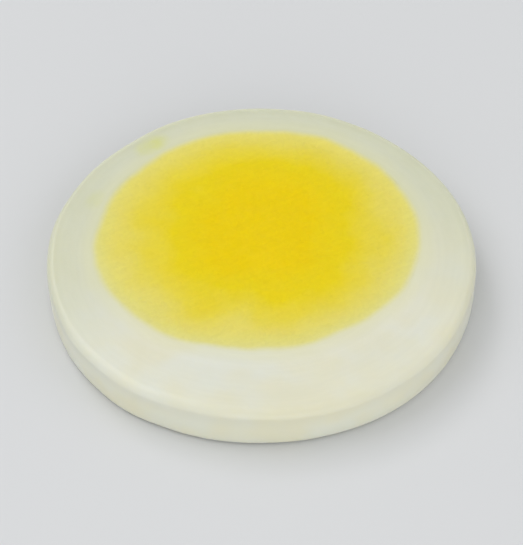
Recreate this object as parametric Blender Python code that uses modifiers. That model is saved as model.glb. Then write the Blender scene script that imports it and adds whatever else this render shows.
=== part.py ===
"""A slice of hard boiled egg, cut across the egg near its middle, with its larger face on top.

Two solids: the ring of white, whose outer side is a band of the egg's own surface, and the
yolk, which runs through the slice a little off centre. Metres, +Z up, origin on the table at
the centre of the slice's bounding box.
"""

import math

import bmesh
import bpy
from mathutils import Vector, noise

# The peeled egg that the slice comes from. Its widest place is just above the upper cut.
EGG_DIAMETER = 0.0436
EGG_LENGTH = 0.0570
UPPER_CUT_BELOW_WIDEST = 0.0004
SLICE_THICKNESS = 0.0050

# The yolk is a flattened ball with its middle level with the upper cut
YOLK_LENGTH = 0.0330
YOLK_WIDTH = 0.0304
YOLK_TURN = math.radians(14)
YOLK_CENTRE = Vector((-0.0004, 0.0026, 0))
WALL_GAP = 0.0003

# Lobes that make the two outlines uneven: (lobes, share of the radius, direction in degrees)
SKIN_LOBES = ((2, 0.0070, 10), (3, 0.0045, 95), (5, 0.0020, 20))
YOLK_LOBES = ((3, 0.0080, 215), (5, 0.0036, 130), (8, 0.0035, 15), (13, 0.0022, 70))

# Rounding of the cut edges
UPPER_EDGE_RADIUS = 0.00085
LOWER_EDGE_RADIUS = 0.00050
WALL_EDGE_RADIUS = 0.00012

# Height and size of the swells that cutting leaves in the faces and cooking in the skin
FACE_SWELL = 0.00016
FACE_SWELL_SIZE = 0.0100
YOLK_SWELL = 0.00016
YOLK_SWELL_SIZE = 0.0042
SKIN_SWELL = 0.00014
SKIN_SWELL_SIZE = 0.0065

# How far the yolk's upper face sinks below the white's, and how wide its sloping edge is
YOLK_SINK = 0.00010
YOLK_SINK_WIDTH = 0.0015

# How finely the two profiles and their turns are divided
SEGMENTS = 112
UPPER_EDGE_STEPS = 4
LOWER_EDGE_STEPS = 3
WALL_EDGE_STEPS = 1
SKIN_STEPS = 3
WALL_STEPS = 3
WHITE_FACE_STEPS = 7
WHITE_UNDERSIDE_STEPS = 2
YOLK_FACE_STEPS = 16
YOLK_UNDERSIDE_STEPS = 3
MERGE_DISTANCE = 0.00001
SHARP_ANGLE = math.radians(40)

WHITE_COLOUR = (0.80, 0.81, 0.70, 1.0)
WHITE_ROUGHNESS = 0.32
WHITE_SUBSURFACE = 1.0
YOLK_COLOUR = (0.76, 0.56, 0.03, 1.0)
YOLK_ROUGHNESS = 0.60
YOLK_SUBSURFACE = 0.2
SUBSURFACE_SCALE = 0.0015


def clear_scene():
    for obj in list(bpy.data.objects):
        bpy.data.objects.remove(obj, do_unlink=True)


def make_material(name, colour, roughness, subsurface):
    """A cooked, slightly translucent food surface."""
    material = bpy.data.materials.new(name)
    material.use_nodes = True
    shader = material.node_tree.nodes["Principled BSDF"]
    shader.inputs["Base Color"].default_value = colour
    shader.inputs["Roughness"].default_value = roughness
    shader.inputs["Metallic"].default_value = 0.0
    shader.inputs["Subsurface Weight"].default_value = subsurface
    shader.inputs["Subsurface Scale"].default_value = SUBSURFACE_SCALE
    material.diffuse_color = colour
    return material


def outwards(angle):
    """The level unit vector in this direction."""
    return Vector((math.cos(angle), math.sin(angle), 0))


def unevenness(angle, lobes):
    """The factor by which an uneven outline differs from a round one in this direction."""
    return 1 + sum(
        share * math.cos(count * (angle - math.radians(direction)))
        for count, share, direction in lobes
    )


def swell(point, size):
    """Smooth relief between about -1 and 1: Perlin noise with swells of this size."""
    return noise.noise(point / size)


def ball_share(height, half_height):
    """How wide a ball is at this height from its middle, as a share of its widest."""
    return math.sqrt(1 - (height / half_height) ** 2)


def skin_point(angle, height):
    """A point of the egg's surface at this height above the table."""
    below_widest = SLICE_THICKNESS - height + UPPER_CUT_BELOW_WIDEST
    share = ball_share(below_widest, EGG_LENGTH / 2)
    radius = EGG_DIAMETER / 2 * share * unevenness(angle, SKIN_LOBES)
    point = outwards(angle) * radius + Vector((0, 0, height))
    return point + outwards(angle) * SKIN_SWELL * swell(point, SKIN_SWELL_SIZE)


def yolk_point(angle, height, gap):
    """A point of the yolk's side, moved outwards by gap, in this direction from its centre."""
    half_length = YOLK_LENGTH / 2
    half_width = YOLK_WIDTH / 2
    turned = angle - YOLK_TURN
    oval = half_length * half_width / math.hypot(
        half_width * math.cos(turned), half_length * math.sin(turned)
    )
    share = ball_share(SLICE_THICKNESS - height, (half_length + half_width) / 2)
    radius = oval * share * unevenness(angle, YOLK_LOBES) + gap
    return YOLK_CENTRE + outwards(angle) * radius + Vector((0, 0, height))


def smooth(share):
    """A share from 0 to 1 that starts and ends gently."""
    share = max(0, min(1, share))
    return share * share * (3 - 2 * share)


def corner(centre_r, centre_z, radius, start, end, steps):
    """Points of a rounded corner of a profile, with the angles in degrees."""
    points = []
    for step in range(steps + 1):
        turn = math.radians(start + (end - start) * step / steps)
        points.append((centre_r + radius * math.cos(turn), centre_z + radius * math.sin(turn)))
    return points


def between(first, last, steps):
    """The points that divide a straight run of a profile, without its two ends."""
    return [
        tuple(a + (b - a) * step / steps for a, b in zip(first, last))
        for step in range(1, steps)
    ]


def joined(corners, steps):
    """The corners in order, with the straight run after each of them divided."""
    points = []
    for number, run in enumerate(corners):
        points += run
        if number < len(steps):
            following = corners[(number + 1) % len(corners)]
            points += between(run[-1], following[0], steps[number])
    return points


def white_profile(inner, outer):
    """The ring's cross-section: down the skin, in under the slice, up the wall, out on top."""
    top = SLICE_THICKNESS
    upper = UPPER_EDGE_RADIUS
    lower = LOWER_EDGE_RADIUS
    wall = WALL_EDGE_RADIUS
    corners = [
        corner(outer - upper, top - upper, upper, 90, 0, UPPER_EDGE_STEPS),
        corner(outer - lower, lower, lower, 0, -90, LOWER_EDGE_STEPS),
        corner(inner + wall, wall, wall, -90, -180, WALL_EDGE_STEPS),
        corner(inner + wall, top - wall, wall, 180, 90, WALL_EDGE_STEPS),
    ]
    return joined(corners, (SKIN_STEPS, WHITE_UNDERSIDE_STEPS, WALL_STEPS, WHITE_FACE_STEPS))


def yolk_profile(outer):
    """Half of the yolk's cross-section, from its middle on top round to its middle below."""
    top = SLICE_THICKNESS
    edge = WALL_EDGE_RADIUS
    corners = [
        [(0, top)],
        corner(outer - edge, top - edge, edge, 90, 0, WALL_EDGE_STEPS),
        corner(outer - edge, edge, edge, 0, -90, WALL_EDGE_STEPS),
        [(0, 0)],
    ]
    return joined(corners, (YOLK_FACE_STEPS, WALL_STEPS, YOLK_UNDERSIDE_STEPS))


def turned_mesh(name, profile, closed):
    """The mesh of a profile turned round the Z axis by a Screw modifier."""
    count = len(profile)
    edges = [(i, i + 1) for i in range(count - 1)]
    if closed:
        edges.append((count - 1, 0))
    outline = bpy.data.meshes.new(name + "_profile")
    outline.from_pydata([(r, 0, z) for r, z in profile], edges, [])
    blank = bpy.data.objects.new(name + "_blank", outline)
    bpy.context.scene.collection.objects.link(blank)
    screw = blank.modifiers.new("Turn", "SCREW")
    screw.axis = "Z"
    screw.steps = SEGMENTS
    screw.render_steps = SEGMENTS
    screw.use_merge_vertices = True
    screw.merge_threshold = MERGE_DISTANCE
    graph = bpy.context.evaluated_depsgraph_get()
    mesh = bpy.data.meshes.new_from_object(blank.evaluated_get(graph))
    mesh.name = name
    bpy.data.objects.remove(blank, do_unlink=True)
    bpy.data.meshes.remove(outline)
    return mesh


def shape(mesh, place):
    """Moves each vertex to place(distance from the axis, angle, height)."""
    model = bmesh.new()
    model.from_mesh(mesh)
    bmesh.ops.remove_doubles(model, verts=model.verts, dist=MERGE_DISTANCE)
    for vertex in model.verts:
        x, y, z = vertex.co
        vertex.co = place(math.hypot(x, y), math.atan2(y, x), z)
    bmesh.ops.recalc_face_normals(model, faces=model.faces)
    model.to_mesh(mesh)
    model.free()
    mesh.shade_smooth()
    mesh.set_sharp_from_angle(angle=SHARP_ANGLE)


def make_white():
    """The ring of white, lofted from the yolk's outline to the egg's skin."""
    inner = (YOLK_LENGTH + YOLK_WIDTH) / 4
    outer = EGG_DIAMETER / 2
    mesh = turned_mesh("egg_white", white_profile(inner, outer), closed=True)

    def place(distance, angle, height):
        across = (distance - inner) / (outer - inner)
        wall = yolk_point(angle, height, WALL_GAP)
        point = wall.lerp(skin_point(angle, height), across)
        flat = Vector((point.x, point.y, 0))
        lift = (height / SLICE_THICKNESS) ** 2
        point.z += FACE_SWELL * swell(flat, FACE_SWELL_SIZE) * lift
        return point

    shape(mesh, place)
    return mesh


def make_yolk():
    """The yolk, whose upper face is uneven and sinks a little below the white's."""
    outer = (YOLK_LENGTH + YOLK_WIDTH) / 4
    mesh = turned_mesh("egg_yolk", yolk_profile(outer), closed=False)

    def place(distance, angle, height):
        centre = YOLK_CENTRE + Vector((0, 0, height))
        edge = yolk_point(angle, height, 0)
        point = centre.lerp(edge, distance / outer)
        flat = Vector((point.x, point.y, 0))
        sunk = smooth((edge - point).length / YOLK_SINK_WIDTH)
        rough = YOLK_SWELL * swell(flat, YOLK_SWELL_SIZE) - YOLK_SINK
        top = FACE_SWELL * swell(flat, FACE_SWELL_SIZE) + rough * sunk
        point.z += top * (height / SLICE_THICKNESS) ** 2
        return point

    shape(mesh, place)
    return mesh


def table_centre(mesh):
    """The middle of the mesh's bounding box, at table height."""
    xs = [vertex.co.x for vertex in mesh.vertices]
    ys = [vertex.co.y for vertex in mesh.vertices]
    return Vector(((min(xs) + max(xs)) / 2, (min(ys) + max(ys)) / 2, 0))


def add_piece(mesh, material, origin, shift, collection):
    mesh.materials.append(material)
    piece = bpy.data.objects.new(mesh.name, mesh)
    collection.objects.link(piece)
    piece.parent = origin
    piece.location = shift


def build():
    clear_scene()
    collection = bpy.data.collections.new("hard_boiled_egg_slice")
    bpy.context.scene.collection.children.link(collection)
    origin = bpy.data.objects.new("egg_slice_origin", None)
    collection.objects.link(origin)
    white = make_white()
    yolk = make_yolk()
    shift = -table_centre(white)
    white_material = make_material(
        "cooked_egg_white", WHITE_COLOUR, WHITE_ROUGHNESS, WHITE_SUBSURFACE
    )
    yolk_material = make_material(
        "cooked_egg_yolk", YOLK_COLOUR, YOLK_ROUGHNESS, YOLK_SUBSURFACE
    )
    add_piece(white, white_material, origin, shift, collection)
    add_piece(yolk, yolk_material, origin, shift, collection)


build()
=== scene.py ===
"""The looks of a slice of hard boiled egg, lying flat under soft studio light.

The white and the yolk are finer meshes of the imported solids' forms, from the same sizes, with
the relief of a wire-cut face. Lengths are in metres, or in millimetres where a name ends in
MM, and colours are sRGB from 0 to 255.
"""

import math
from typing import NamedTuple

import bmesh
import bpy
from mathutils import Matrix, Vector, noise


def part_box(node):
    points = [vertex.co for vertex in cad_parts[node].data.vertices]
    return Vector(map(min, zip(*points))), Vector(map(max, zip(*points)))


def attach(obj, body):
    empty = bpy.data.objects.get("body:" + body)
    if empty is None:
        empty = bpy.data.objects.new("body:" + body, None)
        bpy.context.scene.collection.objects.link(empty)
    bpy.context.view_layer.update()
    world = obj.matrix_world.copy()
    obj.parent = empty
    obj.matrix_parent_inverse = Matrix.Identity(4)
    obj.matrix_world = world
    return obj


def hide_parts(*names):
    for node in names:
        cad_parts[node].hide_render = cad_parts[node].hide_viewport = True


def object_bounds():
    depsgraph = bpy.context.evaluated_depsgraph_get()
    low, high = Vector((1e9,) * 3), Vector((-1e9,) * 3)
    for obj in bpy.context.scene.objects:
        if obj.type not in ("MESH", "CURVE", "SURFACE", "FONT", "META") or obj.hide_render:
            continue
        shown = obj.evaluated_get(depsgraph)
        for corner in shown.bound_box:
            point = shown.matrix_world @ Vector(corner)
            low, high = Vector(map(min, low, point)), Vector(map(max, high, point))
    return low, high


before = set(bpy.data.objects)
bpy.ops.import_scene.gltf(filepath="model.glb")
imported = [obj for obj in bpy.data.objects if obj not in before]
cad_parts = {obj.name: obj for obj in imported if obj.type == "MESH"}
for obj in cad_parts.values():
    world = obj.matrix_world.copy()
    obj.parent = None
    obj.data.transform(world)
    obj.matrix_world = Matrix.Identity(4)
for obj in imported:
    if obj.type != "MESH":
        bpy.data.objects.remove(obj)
CAD_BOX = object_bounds()
MM = 0.001


class Blotches(NamedTuple):
    """Soft noise, of a size in metres, whose values from start to end become low to high."""

    size: float
    detail: float
    start: float
    end: float
    low: float = 0.0
    high: float = 1.0


# The peeled egg that the slice comes from, as in the solids
EGG_DIAMETER = 0.0436
EGG_LENGTH = 0.0570
UPPER_CUT_BELOW_WIDEST = 0.0004
SLICE_THICKNESS = 0.0050
YOLK_LENGTH = 0.0330
YOLK_WIDTH = 0.0304
YOLK_TURN = math.radians(14)
YOLK_CENTRE = Vector((-0.0004, 0.0026, 0))

# How far the white's wall and the yolk's side lie outside the solid yolk, so that no gap shows
WALL_GAP = 0.0003
YOLK_REACH = 0.00032

# Lobes that make the two outlines uneven: (lobes, share of the radius, direction in degrees)
SKIN_LOBES = ((2, 0.0070, 10), (3, 0.0045, 95), (5, 0.0020, 20))
YOLK_LOBES = ((3, 0.0080, 215), (5, 0.0036, 130), (8, 0.0035, 15), (13, 0.0022, 70))

# Rounding of the cut edges, and the angle from which an edge stays sharp
UPPER_EDGE_RADIUS = 0.00085
LOWER_EDGE_RADIUS = 0.00050
SHARP_ANGLE = math.radians(40)

# Relief, as (height, size) of swells. The first of each is in the solids too.
FACE_SWELLS = ((0.00016, 0.0100), (0.00003, 0.0030), (0.000008, 0.0010))
YOLK_SWELLS = ((0.00016, 0.0042), (0.00005, 0.0016), (0.000015, 0.0008))
SKIN_SWELLS = ((0.00014, 0.0065), (0.00002, 0.0018))

# How far the faces and the skin move in, so that the finer swells stay inside the solids' box
FINE_DROP = 0.00003

# How far the yolk's upper face sinks below the white's, and how wide its sloping edge is
YOLK_SINK = 0.00010
YOLK_SINK_WIDTH = 0.0015

# Tears that the wire leaves in the crumbly yolk: depth, size and the noise that they start at
TEAR_DEPTH = 0.00010
TEAR_SIZE = 0.0011
TEAR_START = 0.22

# How finely the two profiles and their turns are divided
SEGMENTS = 480
UPPER_EDGE_STEPS = 12
LOWER_EDGE_STEPS = 6
SKIN_STEPS = 12
WALL_STEPS = 3
WHITE_FACE_STEPS = 56
WHITE_UNDERSIDE_STEPS = 8
YOLK_FACE_STEPS = 120
YOLK_UNDERSIDE_STEPS = 16

# The white's cut face: cooler and warmer places, the thin far side, which is greyer and also
# darker with painted shade, and the edge by the yolk, which is partly stained and partly
# painted yellow light from the yolk
WHITE_COOL = (224, 225, 211)
WHITE_WARM = (225, 223, 199)
WHITE_WARMTH = Blotches(0.0075, 2.0, 0.35, 0.65)
WHITE_THIN_AND_SHADED = (208, 210, 184)
THIN_WIDTHS_MM = (7.8, 4.8)
THIN_AND_SHADED_SHARE = 0.90
# The yellow by the yolk is partly a stain and partly painted yellow light that shines through
# the white
WHITE_BY_YOLK = (215, 213, 158)
BY_YOLK_DEPTHS_MM = (-2.2, -0.4)
BY_YOLK_SHARE = 0.32

# The faint layers of the cooked white: their width and wander, and their shades
LAYER_WIDTH_MM = 0.45
LAYER_WANDER_SIZE = 0.006
LAYER_WANDER_MM = 2.5
LAYER_SHADES = (0.991, 1.007)

# Painted shade on the rounded shoulder, which makes it a little darker than the face, from this
# far inside the rim
SHOULDER_DEPTHS_MM = (1.6, 0.4)
PAINTED_SHOULDER_SHADE = 0.945

# The skin of the side band, partly its own colour and partly painted light that makes the lower
# band brighter, and the depths and heights over which it takes over
LIT_SKIN_COOL = (226, 227, 210)
LIT_SKIN_WARM = (227, 225, 200)
SKIN_WARMTH = Blotches(0.0055, 2.0, 0.35, 0.65)
SKIN_DEPTHS_MM = (0.25, 0.02)
BAND_HEIGHTS_MM = (4.5, 2.3)

# Smears of yolk on the white: (x, y, length, width, strength), how ragged they are, and over
# which shares of their length and width they fade in
SMEAR = (210, 212, 128)
SMEARS = ((-0.0114, 0.0159, 0.0026, 0.0015, 0.80), (-0.0172, 0.0080, 0.0020, 0.0012, 0.30))
SMEAR_RAGS = Blotches(0.0011, 3.0, 0.25, 0.6, 0.5, 1.0)
SMEAR_FADE = (1.0, 0.2)

# The yolk's colours by their depth in from its edge in millimetres
YOLK_TINTS = (
    (-0.1, (222, 217, 147)),
    (0.7, (223, 216, 130)),
    (1.5, (224, 215, 117)),
    (2.9, (226, 213, 102)),
    (4.9, (227, 210, 70)),
    (7.6, (229, 207, 20)),
    (11.5, (232, 203, 0)),
)

# What makes them less even: clouds, which set in with depth, and a lean to the far side
YOLK_CLOUD_MM = Blotches(0.0085, 2.0, 0.3, 0.7, -1.4, 1.4)
CLOUD_DEPTHS_MM = (0.5, 5.0)
YOLK_LEAN_MM = 1.8
LEAN_PLACES_MM = (-4.0, 15.0)

# The yolk's grain, streaks and pits: size and shades
GRAIN_SIZE = 0.00032
GRAIN_SHADES = (0.978, 1.016)
STREAK_SHADES = (0.989, 1.009)
PITS = Blotches(0.00095, 3.0, 0.60, 0.72)
# The pits are painted darker: painted shade in their hollows
PIT_PAINTED_SHADE = 0.975

# The soft change from white to yolk, by depth into the yolk, and how its place wanders
CHANGE_DEPTHS_MM = (-0.40, 0.75)
CHANGE_DRIFT_MM = Blotches(0.0060, 1.0, 0.25, 0.75, -0.15, 0.15)
CHANGE_FRAY_MM = Blotches(0.0018, 3.0, 0.25, 0.75, -0.05, 0.05)

# The streaks of the cutting wire: their direction, length and width
WIRE_DIRECTION = math.radians(28)
WIRE_STREAK_LENGTH = 0.0090
WIRE_STREAK_WIDTH = 0.00034

# Plain noise: its detail, and the middle of its range, where most of it lies
NOISE_DETAIL = 2.0
NOISE_MIDDLE = (0.3, 0.7)

# Gloss of the white: roughness, specular level and coat. It gets as dull as the yolk near the
# wall between them, so that the wall doesn't show. The shoulder has less shine than the face,
# and the rim is a little smoother.
WHITE_ROUGHNESS = Blotches(0.0028, 3.0, 0.3, 0.7, 0.35, 0.45)
WHITE_SHINE = 0.5
SHOULDER_SHINE = 0.3
SHOULDER_SHINE_DEPTHS_MM = (2.0, 0.4)
WALL_DEPTHS_MM = (-0.8, -0.1)
WALL_ROUGHER = 0.25
RIM_DEPTHS_MM = (0.8, 0.0)
RIM_SMOOTHER = 0.05
WHITE_COAT = 0.24
COAT_ROUGHNESS = 0.28
COAT_IOR = 1.36

# Gloss of the yolk
YOLK_ROUGHNESS = Blotches(0.0012, 2.0, 0.3, 0.7, 0.58, 0.74)
YOLK_SHINE = 0.14

# Light inside each part: the depths over which it sets in, away from the wall between them,
# and how far each colour goes. The yolk has less of it.
WHITE_GLOW_DEPTHS_MM = (-0.3, -3.0)
WHITE_GLOW = (1.0, 0.95, 0.82)
WHITE_GLOW_REACH = 0.0014
YOLK_GLOW_DEPTHS_MM = (0.2, 2.2)
YOLK_GLOW_WEIGHT = 0.35
YOLK_GLOW = (1.0, 0.8, 0.25)
YOLK_GLOW_REACH = 0.0009

# Texture finer than the meshes: its size, strength and depth, the detail of its noise, and how
# deep the pits of the yolk are in it
WHITE_TEXTURE_SIZE = 0.00035
WHITE_TEXTURE_STRENGTH = 0.8
WHITE_TEXTURE_DEPTH = 0.00001
YOLK_TEXTURE_SIZE = 0.00024
YOLK_TEXTURE_STRENGTH = 0.6
YOLK_TEXTURE_DEPTH = 0.00002
TEXTURE_DETAIL = 3.0
PIT_SHARE = 0.8

FLOOR_COLOUR = (214, 215, 215)
FLOOR_SHADES = Blotches(0.2, 2.0, 0.3, 0.7, 0.99, 1.01)
FLOOR_ROUGHNESS = 0.85
FLOOR_SHINE = 0.2
FLOOR_SIZE = 3.0
FLOOR_DROP = 0.00005

# Camera, with its elevation from the photo
CAMERA_ELEVATION = math.radians(47)
CAMERA_LENS_MM = 360
CAMERA_NEAREST = 0.01
SENSOR_MM = 36
SLICE_SHARE_OF_WIDTH = 0.82

# Lights: (name, azimuth and elevation in degrees, distance, size, watts)
LIGHTS = (
    ("key", 158, 56, 0.80, 0.70, 1.95),
    ("front", -85, 20, 0.80, 0.80, 2.15),
    ("fill", -15, 40, 0.80, 0.72, 0.75),
    ("back", 122, 45, 0.80, 0.25, 0.50),
)
WORLD_COLOUR = (251, 252, 255)
WORLD_STRENGTH = 0.61


def linear(colour):
    """An sRGB colour from 0 to 255 as the linear RGBA that shaders take."""
    shares = [channel / 255 for channel in colour]
    return [
        share / 12.92 if share <= 0.04045 else ((share + 0.055) / 1.055) ** 2.4
        for share in shares
    ] + [1.0]


def outwards(angle):
    """The level unit vector in this direction."""
    return Vector((math.cos(angle), math.sin(angle), 0))


def unevenness(angle, lobes):
    """The factor by which an uneven outline differs from a round one in this direction."""
    return 1 + sum(
        share * math.cos(count * (angle - math.radians(direction)))
        for count, share, direction in lobes
    )


def relief(point, swells):
    """Layers of Perlin noise, each with its own height and size."""
    return sum(height * noise.noise(point / size) for height, size in swells)


def ball_share(height, half_height):
    """How wide a ball is at this height from its middle, as a share of its widest."""
    return math.sqrt(1 - (height / half_height) ** 2)


def skin_point(angle, height):
    """A point of the egg's surface at this height above the table."""
    below_widest = SLICE_THICKNESS - height + UPPER_CUT_BELOW_WIDEST
    share = ball_share(below_widest, EGG_LENGTH / 2)
    radius = EGG_DIAMETER / 2 * share * unevenness(angle, SKIN_LOBES)
    point = outwards(angle) * radius + Vector((0, 0, height))
    return point + outwards(angle) * (relief(point, SKIN_SWELLS) - FINE_DROP)


def yolk_point(angle, height, gap):
    """A point of the yolk's side, moved outwards by gap, in this direction from its centre."""
    half_length = YOLK_LENGTH / 2
    half_width = YOLK_WIDTH / 2
    turned = angle - YOLK_TURN
    oval = half_length * half_width / math.hypot(
        half_width * math.cos(turned), half_length * math.sin(turned)
    )
    share = ball_share(SLICE_THICKNESS - height, (half_length + half_width) / 2)
    radius = oval * share * unevenness(angle, YOLK_LOBES) + gap
    return YOLK_CENTRE + outwards(angle) * radius + Vector((0, 0, height))


def smooth(share):
    """A share from 0 to 1 that starts and ends gently."""
    share = max(0, min(1, share))
    return share * share * (3 - 2 * share)


def tear(flat):
    """The depth of the small ragged hollows in the yolk's cut face."""
    return TEAR_DEPTH * max(0, noise.noise(flat / TEAR_SIZE) - TEAR_START)


def face_rise(flat):
    """How far both cut faces stand above the flat cut at this place, or below it."""
    return relief(flat, FACE_SWELLS) - FINE_DROP


def yolk_rise(flat, inside):
    """How far the yolk's face rises above that, this far in from its edge. Mostly it sinks."""
    rough = relief(flat, YOLK_SWELLS) - YOLK_SINK - tear(flat)
    return rough * smooth(inside / YOLK_SINK_WIDTH)


def corner(centre_r, centre_z, radius, start, end, steps):
    """Points of a rounded corner of a profile, with the angles in degrees."""
    points = []
    for step in range(steps + 1):
        turn = math.radians(start + (end - start) * step / steps)
        points.append((centre_r + radius * math.cos(turn), centre_z + radius * math.sin(turn)))
    return points


def between(first, last, steps):
    """The points that divide a straight run of a profile, without its two ends."""
    return [
        tuple(a + (b - a) * step / steps for a, b in zip(first, last))
        for step in range(1, steps)
    ]


def joined(corners, steps):
    """The corners in order, with the straight run after each of them divided."""
    points = []
    for number, run in enumerate(corners):
        points += run
        if number < len(steps):
            following = corners[(number + 1) % len(corners)]
            points += between(run[-1], following[0], steps[number])
    return points


def white_profile(inner, outer):
    """The ring's cross-section: down the skin, in under the slice, up the wall, out on top."""
    top = SLICE_THICKNESS
    upper = UPPER_EDGE_RADIUS
    lower = LOWER_EDGE_RADIUS
    corners = [
        corner(outer - upper, top - upper, upper, 90, 0, UPPER_EDGE_STEPS),
        corner(outer - lower, lower, lower, 0, -90, LOWER_EDGE_STEPS),
        [(inner, 0)],
        [(inner, top)],
    ]
    return joined(corners, (SKIN_STEPS, WHITE_UNDERSIDE_STEPS, WALL_STEPS, WHITE_FACE_STEPS))


def yolk_profile(outer):
    """Half of the yolk's cross-section, from its middle on top round to its middle below."""
    top = SLICE_THICKNESS
    corners = [[(0, top)], [(outer, top)], [(outer, 0)], [(0, 0)]]
    return joined(corners, (YOLK_FACE_STEPS, WALL_STEPS, YOLK_UNDERSIDE_STEPS))


def turned_faces(profile, first_of_ring):
    """The faces between the rings of vertices that a profile leaves as it turns.

    A profile that starts and ends on the axis gets a fan of triangles there. Any other is a
    closed loop.
    """
    rings = len(profile)
    faces = []
    for ring in range(rings - 1 if profile[0][0] == 0 else rings):
        upper = first_of_ring[ring]
        lower = first_of_ring[(ring + 1) % rings]
        for turn in range(SEGMENTS):
            following = (turn + 1) % SEGMENTS
            if profile[ring][0] == 0:
                faces.append((upper, lower + turn, lower + following))
            elif profile[(ring + 1) % rings][0] == 0:
                faces.append((upper + turn, lower, upper + following))
            else:
                faces.append(
                    (upper + turn, lower + turn, lower + following, upper + following)
                )
    return faces


def turned_object(name, profile, place):
    """A smooth closed object of a profile turned round the Z axis.

    place(distance, angle, height) gives a vertex, its depth into the yolk and its distance
    from the skin, which the mesh keeps in millimetres as "yolk_mm" and "skin_mm".
    """
    vertices = []
    marks = {"yolk_mm": [], "skin_mm": []}
    first_of_ring = []
    for distance, height in profile:
        first_of_ring.append(len(vertices))
        turns = SEGMENTS if distance > 0 else 1
        for turn in range(turns):
            point, into_yolk, from_skin = place(distance, 2 * math.pi * turn / turns, height)
            vertices.append(point)
            marks["yolk_mm"].append(into_yolk / MM)
            marks["skin_mm"].append(from_skin / MM)
    mesh = bpy.data.meshes.new(name)
    mesh.from_pydata(vertices, [], turned_faces(profile, first_of_ring))
    for mark, values in marks.items():
        mesh.attributes.new(mark, "FLOAT", "POINT").data.foreach_set("value", values)
    mesh.shade_smooth()
    mesh.set_sharp_from_angle(angle=SHARP_ANGLE)
    mesh.validate()
    piece = bpy.data.objects.new(name, mesh)
    bpy.context.scene.collection.objects.link(piece)
    return piece


def make_white():
    """The ring of white, lofted from the yolk's outline to the egg's skin."""
    inner = (YOLK_LENGTH + YOLK_WIDTH) / 4
    outer = EGG_DIAMETER / 2

    def place(distance, angle, height):
        across = (distance - inner) / (outer - inner)
        wall = yolk_point(angle, height, WALL_GAP)
        skin = skin_point(angle, height)
        point = wall.lerp(skin, across)
        into_yolk = -(point - wall).length
        from_skin = (point - skin).length
        flat = Vector((point.x, point.y, 0))
        point.z += face_rise(flat) * (height / SLICE_THICKNESS) ** 2
        return point, into_yolk, from_skin

    return turned_object("boiled_white", white_profile(inner, outer), place)


def make_yolk():
    """The yolk, which reaches the white's wall so that no gap shows."""
    outer = (YOLK_LENGTH + YOLK_WIDTH) / 4

    def place(distance, angle, height):
        centre = YOLK_CENTRE + Vector((0, 0, height))
        edge = yolk_point(angle, height, YOLK_REACH)
        point = centre.lerp(edge, distance / outer)
        into_yolk = (edge - point).length
        from_skin = (skin_point(angle, height) - point).length
        flat = Vector((point.x, point.y, 0))
        rise = face_rise(flat) + yolk_rise(flat, into_yolk)
        point.z += rise * (height / SLICE_THICKNESS) ** 2
        return point, into_yolk, from_skin

    return turned_object("boiled_yolk", yolk_profile(outer), place)


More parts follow.
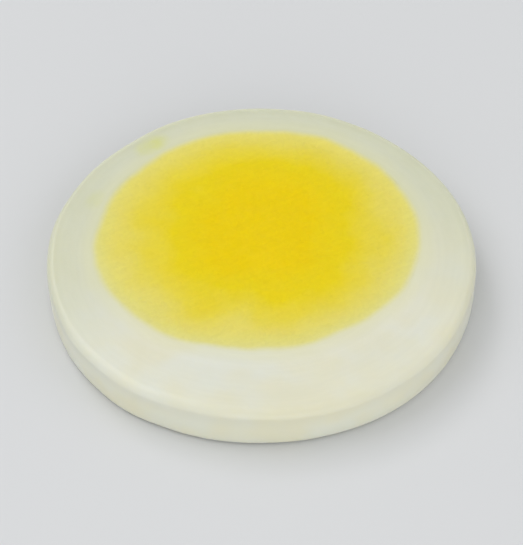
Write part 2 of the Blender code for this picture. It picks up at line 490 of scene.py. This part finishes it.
class Nodes:
    """A material's node tree, with one short call for each kind of node."""

    def __init__(self, name):
        self.material = bpy.data.materials.new(name)
        self.material.use_nodes = True
        self.tree = self.material.node_tree
        self.shader = self.tree.nodes["Principled BSDF"]
        self.place = self.tree.nodes.new("ShaderNodeTexCoord").outputs["Object"]

    def put(self, value, socket):
        """Links an output to a socket, or sets the socket to a plain value."""
        if isinstance(value, bpy.types.NodeSocket):
            self.tree.links.new(value, socket)
        else:
            socket.default_value = value

    def attribute(self, name):
        """A value that the mesh keeps for each vertex."""
        node = self.tree.nodes.new("ShaderNodeAttribute")
        node.attribute_name = name
        return node.outputs["Fac"]

    def along(self, axis):
        """The place along one axis of the part in millimetres."""
        node = self.tree.nodes.new("ShaderNodeSeparateXYZ")
        self.put(self.place, node.inputs["Vector"])
        return self.math("DIVIDE", node.outputs[axis], MM)

    def math(self, operation, first, second):
        """The result of one operation, such as ADD, on two values."""
        node = self.tree.nodes.new("ShaderNodeMath")
        node.operation = operation
        self.put(first, node.inputs[0])
        self.put(second, node.inputs[1])
        return node.outputs[0]

    def span(self, value, low, high, to_low=0.0, to_high=1.0):
        """Maps value from low..high to to_low..to_high, smoothly and without going past."""
        node = self.tree.nodes.new("ShaderNodeMapRange")
        node.interpolation_type = "SMOOTHSTEP"
        self.put(value, node.inputs["Value"])
        self.put(low, node.inputs["From Min"])
        self.put(high, node.inputs["From Max"])
        self.put(to_low, node.inputs["To Min"])
        self.put(to_high, node.inputs["To Max"])
        return node.outputs["Result"]

    def noise(self, size, detail, place=None):
        """Noise from 0 to 1, of this size in the units of place."""
        node = self.tree.nodes.new("ShaderNodeTexNoise")
        self.put(place or self.place, node.inputs["Vector"])
        node.inputs["Scale"].default_value = 1 / size
        node.inputs["Detail"].default_value = detail
        return node.outputs["Fac"]

    def blotches(self, kind):
        """Noise of this kind of Blotches."""
        plain = self.noise(kind.size, kind.detail)
        return self.span(plain, kind.start, kind.end, kind.low, kind.high)

    def grains(self, size):
        """A random shade from 0 to 1 for each grain of this size."""
        node = self.tree.nodes.new("ShaderNodeTexVoronoi")
        self.put(self.place, node.inputs["Vector"])
        node.inputs["Scale"].default_value = 1 / size
        # A math node turns the grain's random colour into one number
        return self.math("MULTIPLY", node.outputs["Color"], 1.0)

    def mix(self, share, first, second):
        """Mixes two colours, each an output or an sRGB colour."""
        node = self.tree.nodes.new("ShaderNodeMix")
        node.data_type = "RGBA"
        self.put(share, node.inputs["Factor"])
        # This node has sockets for each type of data: its colours are inputs 6 and 7, output 2
        for colour, socket in ((first, node.inputs[6]), (second, node.inputs[7])):
            self.put(linear(colour) if isinstance(colour, tuple) else colour, socket)
        return node.outputs[2]

    def bright(self, colour, factor):
        """The colour times a factor near 1."""
        node = self.tree.nodes.new("ShaderNodeVectorMath")
        node.operation = "SCALE"
        self.put(colour, node.inputs["Vector"])
        self.put(factor, node.inputs["Scale"])
        return node.outputs["Vector"]

    def spot(self, x, y, length, width):
        """1 in the middle of a soft oval spot of the upper face, and 0 from its edge on."""
        node = self.tree.nodes.new("ShaderNodeMapping")
        node.vector_type = "TEXTURE"
        self.put(self.place, node.inputs["Vector"])
        node.inputs["Location"].default_value = (x, y, SLICE_THICKNESS)
        node.inputs["Rotation"].default_value = (0, 0, math.atan2(y, x) + math.pi / 2)
        node.inputs["Scale"].default_value = (length, width, width)
        far = self.tree.nodes.new("ShaderNodeVectorMath")
        far.operation = "LENGTH"
        self.put(node.outputs["Vector"], far.inputs[0])
        return self.span(far.outputs["Value"], *SMEAR_FADE)

    def ramp(self, value, stops):
        """A colour that follows value through stops of (value, sRGB colour)."""
        low = stops[0][0]
        high = stops[-1][0]
        node = self.tree.nodes.new("ShaderNodeValToRGB")
        share_of_ramp = self.math("DIVIDE", self.math("SUBTRACT", value, low), high - low)
        self.put(share_of_ramp, node.inputs["Fac"])
        elements = node.color_ramp.elements
        for number, (at, colour) in enumerate(stops):
            share = (at - low) / (high - low)
            if number in (0, len(stops) - 1):
                element = elements[0 if number == 0 else -1]
            else:
                element = elements.new(share)
            element.position = share
            element.color = linear(colour)
        return node.outputs["Color"]

    def bump(self, height, strength, depth):
        """Texture that is finer than the mesh."""
        node = self.tree.nodes.new("ShaderNodeBump")
        node.inputs["Strength"].default_value = strength
        node.inputs["Distance"].default_value = depth
        self.put(height, node.inputs["Height"])
        self.put(node.outputs["Normal"], self.shader.inputs["Normal"])

    def finish(self, colour, roughness, **values):
        """Sets the shader's sockets and returns the material. Names have _ for a space."""
        self.put(colour, self.shader.inputs["Base Color"])
        self.put(roughness, self.shader.inputs["Roughness"])
        for name, value in values.items():
            self.put(value, self.shader.inputs[name.replace("_", " ")])
        return self.material


def layers(nodes, from_skin):
    """The faint layers of cooked white, which follow the rim."""
    node = nodes.tree.nodes.new("ShaderNodeCombineXYZ")
    nodes.put(from_skin, node.inputs["X"])
    wander = nodes.noise(LAYER_WANDER_SIZE, NOISE_DETAIL)
    nodes.put(nodes.math("MULTIPLY", wander, LAYER_WANDER_MM), node.inputs["Y"])
    return nodes.noise(LAYER_WIDTH_MM, NOISE_DETAIL, node.outputs["Vector"])


def wire_streaks(nodes):
    """The fine parallel streaks that a cutting wire leaves."""
    node = nodes.tree.nodes.new("ShaderNodeMapping")
    node.vector_type = "TEXTURE"
    nodes.put(nodes.place, node.inputs["Vector"])
    node.inputs["Rotation"].default_value = (0, 0, WIRE_DIRECTION)
    node.inputs["Scale"].default_value = (
        WIRE_STREAK_LENGTH, WIRE_STREAK_WIDTH, WIRE_STREAK_LENGTH
    )
    # The node above counts places in streaks, so one streak is the size of the noise
    return nodes.noise(1.0, NOISE_DETAIL, node.outputs["Vector"])


def face_white(nodes, depth):
    """The white's colour on the cut face, at this depth into the yolk."""
    from_skin = nodes.attribute("skin_mm")
    ring_width = nodes.math("SUBTRACT", from_skin, nodes.attribute("yolk_mm"))
    # Painted shade on the narrow far side of the ring, on top of its greyer thin white
    thin_and_shaded = nodes.span(ring_width, *THIN_WIDTHS_MM, 0.0, THIN_AND_SHADED_SHARE)
    # Yellow near the yolk: partly a stain, partly painted light shining through from the yolk
    by_yolk = nodes.span(depth, *BY_YOLK_DEPTHS_MM, 0.0, BY_YOLK_SHARE)
    layer = nodes.span(layers(nodes, from_skin), *NOISE_MIDDLE, *LAYER_SHADES)
    # Painted shade that darkens the rounded shoulder
    shoulder = nodes.span(from_skin, *SHOULDER_DEPTHS_MM, 1.0, PAINTED_SHOULDER_SHADE)
    white = nodes.mix(nodes.blotches(WHITE_WARMTH), WHITE_COOL, WHITE_WARM)
    white = nodes.mix(thin_and_shaded, white, WHITE_THIN_AND_SHADED)
    white = nodes.mix(by_yolk, white, WHITE_BY_YOLK)
    return nodes.bright(nodes.bright(white, layer), shoulder)


def with_skin_and_painted_light(nodes, white):
    """The white's colour, which gives way to the skin's down the side band, with painted light
    that brightens it lower down.
    """
    skin = nodes.mix(nodes.blotches(SKIN_WARMTH), LIT_SKIN_COOL, LIT_SKIN_WARM)
    near_skin = nodes.span(nodes.attribute("skin_mm"), *SKIN_DEPTHS_MM)
    # Painted light: the band grows brighter lower down
    painted_light_down_band = nodes.span(nodes.along("Z"), *BAND_HEIGHTS_MM)
    return nodes.mix(nodes.math("MULTIPLY", near_skin, painted_light_down_band), white, skin)


def with_smears(nodes, white):
    """The white's colour with the smears of yolk that the wire leaves on it."""
    ragged = nodes.blotches(SMEAR_RAGS)
    for x, y, length, width, strength in SMEARS:
        share = nodes.math("MULTIPLY", nodes.spot(x, y, length, width), ragged)
        white = nodes.mix(nodes.math("MULTIPLY", share, strength), white, SMEAR)
    return white


def face_yolk(nodes, depth):
    """The yolk's colour at this depth: clouded and fine-grained, with streaks, and painted
    shade in its pits.
    """
    cloud = nodes.span(depth, *CLOUD_DEPTHS_MM)
    cloud = nodes.math("MULTIPLY", nodes.blotches(YOLK_CLOUD_MM), cloud)
    lean = nodes.span(nodes.along("Y"), *LEAN_PLACES_MM, 0.0, YOLK_LEAN_MM)
    grain = nodes.span(nodes.grains(GRAIN_SIZE), 0.0, 1.0, *GRAIN_SHADES)
    streak = nodes.span(wire_streaks(nodes), *NOISE_MIDDLE, *STREAK_SHADES)
    pit_painted_shade = nodes.span(nodes.blotches(PITS), 0.0, 1.0, 1.0, PIT_PAINTED_SHADE)
    yolk = nodes.ramp(nodes.math("ADD", depth, nodes.math("ADD", cloud, lean)), YOLK_TINTS)
    for shade in (grain, streak, pit_painted_shade):
        yolk = nodes.bright(yolk, shade)
    return yolk


def slice_colour(nodes):
    """The colours of the whole slice.

    Both materials use all of them, so that white turns softly into yolk where they meet.
    """
    wander = nodes.math(
        "ADD", nodes.blotches(CHANGE_DRIFT_MM), nodes.blotches(CHANGE_FRAY_MM)
    )
    depth = nodes.math("ADD", nodes.attribute("yolk_mm"), wander)
    white = with_smears(nodes, with_skin_and_painted_light(nodes, face_white(nodes, depth)))
    return nodes.mix(nodes.span(depth, *CHANGE_DEPTHS_MM), white, face_yolk(nodes, depth))


def white_material():
    """Cooked white: moist, translucent ivory, and as dull as the yolk where they meet."""
    nodes = Nodes("cooked_white")
    from_skin = nodes.attribute("skin_mm")
    by_wall = nodes.span(nodes.attribute("yolk_mm"), *WALL_DEPTHS_MM)
    at_rim = nodes.span(from_skin, *RIM_DEPTHS_MM)
    texture = nodes.math(
        "ADD", wire_streaks(nodes), nodes.noise(WHITE_TEXTURE_SIZE, TEXTURE_DETAIL)
    )
    texture = nodes.math("MULTIPLY", texture, nodes.math("SUBTRACT", 1.0, at_rim))
    nodes.bump(texture, WHITE_TEXTURE_STRENGTH, WHITE_TEXTURE_DEPTH)
    smoother = nodes.math("MULTIPLY", at_rim, RIM_SMOOTHER)
    rougher = nodes.math("MULTIPLY", by_wall, WALL_ROUGHER)
    roughness = nodes.math("SUBTRACT", nodes.blotches(WHITE_ROUGHNESS), smoother)
    shine = nodes.span(from_skin, *SHOULDER_SHINE_DEPTHS_MM, WHITE_SHINE, SHOULDER_SHINE)
    return nodes.finish(
        slice_colour(nodes),
        nodes.math("ADD", roughness, rougher),
        Specular_IOR_Level=nodes.span(by_wall, 0.0, 1.0, shine, YOLK_SHINE),
        Subsurface_Weight=nodes.span(nodes.attribute("yolk_mm"), *WHITE_GLOW_DEPTHS_MM),
        Subsurface_Radius=WHITE_GLOW,
        Subsurface_Scale=WHITE_GLOW_REACH,
        Coat_Weight=nodes.span(by_wall, 0.0, 1.0, WHITE_COAT, 0.0),
        Coat_Roughness=COAT_ROUGHNESS,
        Coat_IOR=COAT_IOR,
    )


def yolk_material():
    """Cooked yolk: fine mealy grain, pale at its edge and deeper yellow towards its middle."""
    nodes = Nodes("cooked_yolk")
    fine = nodes.math(
        "ADD", nodes.noise(YOLK_TEXTURE_SIZE, TEXTURE_DETAIL), nodes.grains(GRAIN_SIZE)
    )
    hollow = nodes.math("MULTIPLY", nodes.blotches(PITS), PIT_SHARE)
    texture = nodes.math("SUBTRACT", fine, hollow)
    nodes.bump(texture, YOLK_TEXTURE_STRENGTH, YOLK_TEXTURE_DEPTH)
    return nodes.finish(
        slice_colour(nodes),
        nodes.blotches(YOLK_ROUGHNESS),
        Specular_IOR_Level=YOLK_SHINE,
        Subsurface_Weight=nodes.span(
            nodes.attribute("yolk_mm"), *YOLK_GLOW_DEPTHS_MM, 0.0, YOLK_GLOW_WEIGHT
        ),
        Subsurface_Radius=YOLK_GLOW,
        Subsurface_Scale=YOLK_GLOW_REACH,
    )


def floor_material():
    """Plain pale paper, with the faintest unevenness."""
    nodes = Nodes("pale_floor")
    colour = nodes.bright(linear(FLOOR_COLOUR)[:3], nodes.blotches(FLOOR_SHADES))
    return nodes.finish(colour, FLOOR_ROUGHNESS, Specular_IOR_Level=FLOOR_SHINE)


def dress(piece, material, replaced):
    """Gives a piece its material and body, and hides the node that it stands for."""
    piece.data.materials.append(material)
    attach(piece, "root")
    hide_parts(replaced)


def box_middle(low, high):
    """The middle of a box with these two corners."""
    return Vector([(a + b) / 2 for a, b in zip(low, high)])


def mesh_middle(piece):
    """The middle of the box round a piece's mesh."""
    places = [[vertex.co[axis] for vertex in piece.data.vertices] for axis in range(3)]
    return box_middle([min(values) for values in places], [max(values) for values in places])


def move_level(piece, shift):
    """Moves a piece's mesh over the table, so that its object stays at the origin."""
    piece.data.transform(Matrix.Translation(Vector((shift.x, shift.y, 0))))


def from_angles(azimuth, elevation):
    """The unit vector towards this azimuth, from +X to +Y, and elevation, in radians."""
    level = outwards(azimuth) * math.cos(elevation)
    return level + Vector((0, 0, math.sin(elevation)))


def aim(thing, target):
    """Turns a light or a camera towards a point."""
    thing.rotation_euler = (target - thing.location).to_track_quat("-Z", "Y").to_euler()


def add_floor():
    """A plain pale floor just under the slice."""
    mesh = bpy.data.meshes.new("floor")
    floor = bmesh.new()
    bmesh.ops.create_grid(floor, x_segments=1, y_segments=1, size=FLOOR_SIZE / 2)
    floor.to_mesh(mesh)
    floor.free()
    piece = bpy.data.objects.new("floor", mesh)
    piece.location.z = -FLOOR_DROP
    bpy.context.scene.collection.objects.link(piece)
    mesh.materials.append(floor_material())


def add_lights(target):
    """Large soft discs round the slice."""
    for name, azimuth, elevation, distance, size, watts in LIGHTS:
        lamp = bpy.data.lights.new(name, "AREA")
        lamp.shape = "DISK"
        lamp.size = size
        lamp.energy = watts
        light = bpy.data.objects.new(name, lamp)
        direction = from_angles(math.radians(azimuth), math.radians(elevation))
        light.location = target + direction * distance
        aim(light, target)
        bpy.context.scene.collection.objects.link(light)


def add_world():
    """Even light from a pale room."""
    world = bpy.data.worlds.new("soft_room")
    world.use_nodes = True
    background = world.node_tree.nodes["Background"]
    background.inputs["Color"].default_value = linear(WORLD_COLOUR)
    background.inputs["Strength"].default_value = WORLD_STRENGTH
    bpy.context.scene.world = world


def add_camera(target, slice_width):
    """A camera with a long lens that the slice nearly fills from side to side."""
    lens = bpy.data.cameras.new("camera")
    lens.sensor_fit = "HORIZONTAL"
    lens.sensor_width = SENSOR_MM
    lens.lens = CAMERA_LENS_MM
    lens.clip_start = CAMERA_NEAREST
    camera = bpy.data.objects.new("camera", lens)
    view_width = slice_width / SLICE_SHARE_OF_WIDTH
    distance = view_width * CAMERA_LENS_MM / SENSOR_MM
    camera.location = target + from_angles(-math.pi / 2, CAMERA_ELEVATION) * distance
    aim(camera, target)
    bpy.context.scene.collection.objects.link(camera)
    bpy.context.scene.camera = camera


def build():
    """The slice in the place of the solids, on its floor, lit and framed."""
    white = make_white()
    yolk = make_yolk()
    shift = box_middle(*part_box("egg_white")) - mesh_middle(white)
    for piece in (white, yolk):
        move_level(piece, shift)
    dress(white, white_material(), "egg_white")
    dress(yolk, yolk_material(), "egg_yolk")
    middle = box_middle(*CAD_BOX)
    add_floor()
    add_lights(middle)
    add_world()
    add_camera(middle, CAD_BOX[1][0] - CAD_BOX[0][0])
    bpy.context.scene.view_settings.view_transform = "Standard"


build()
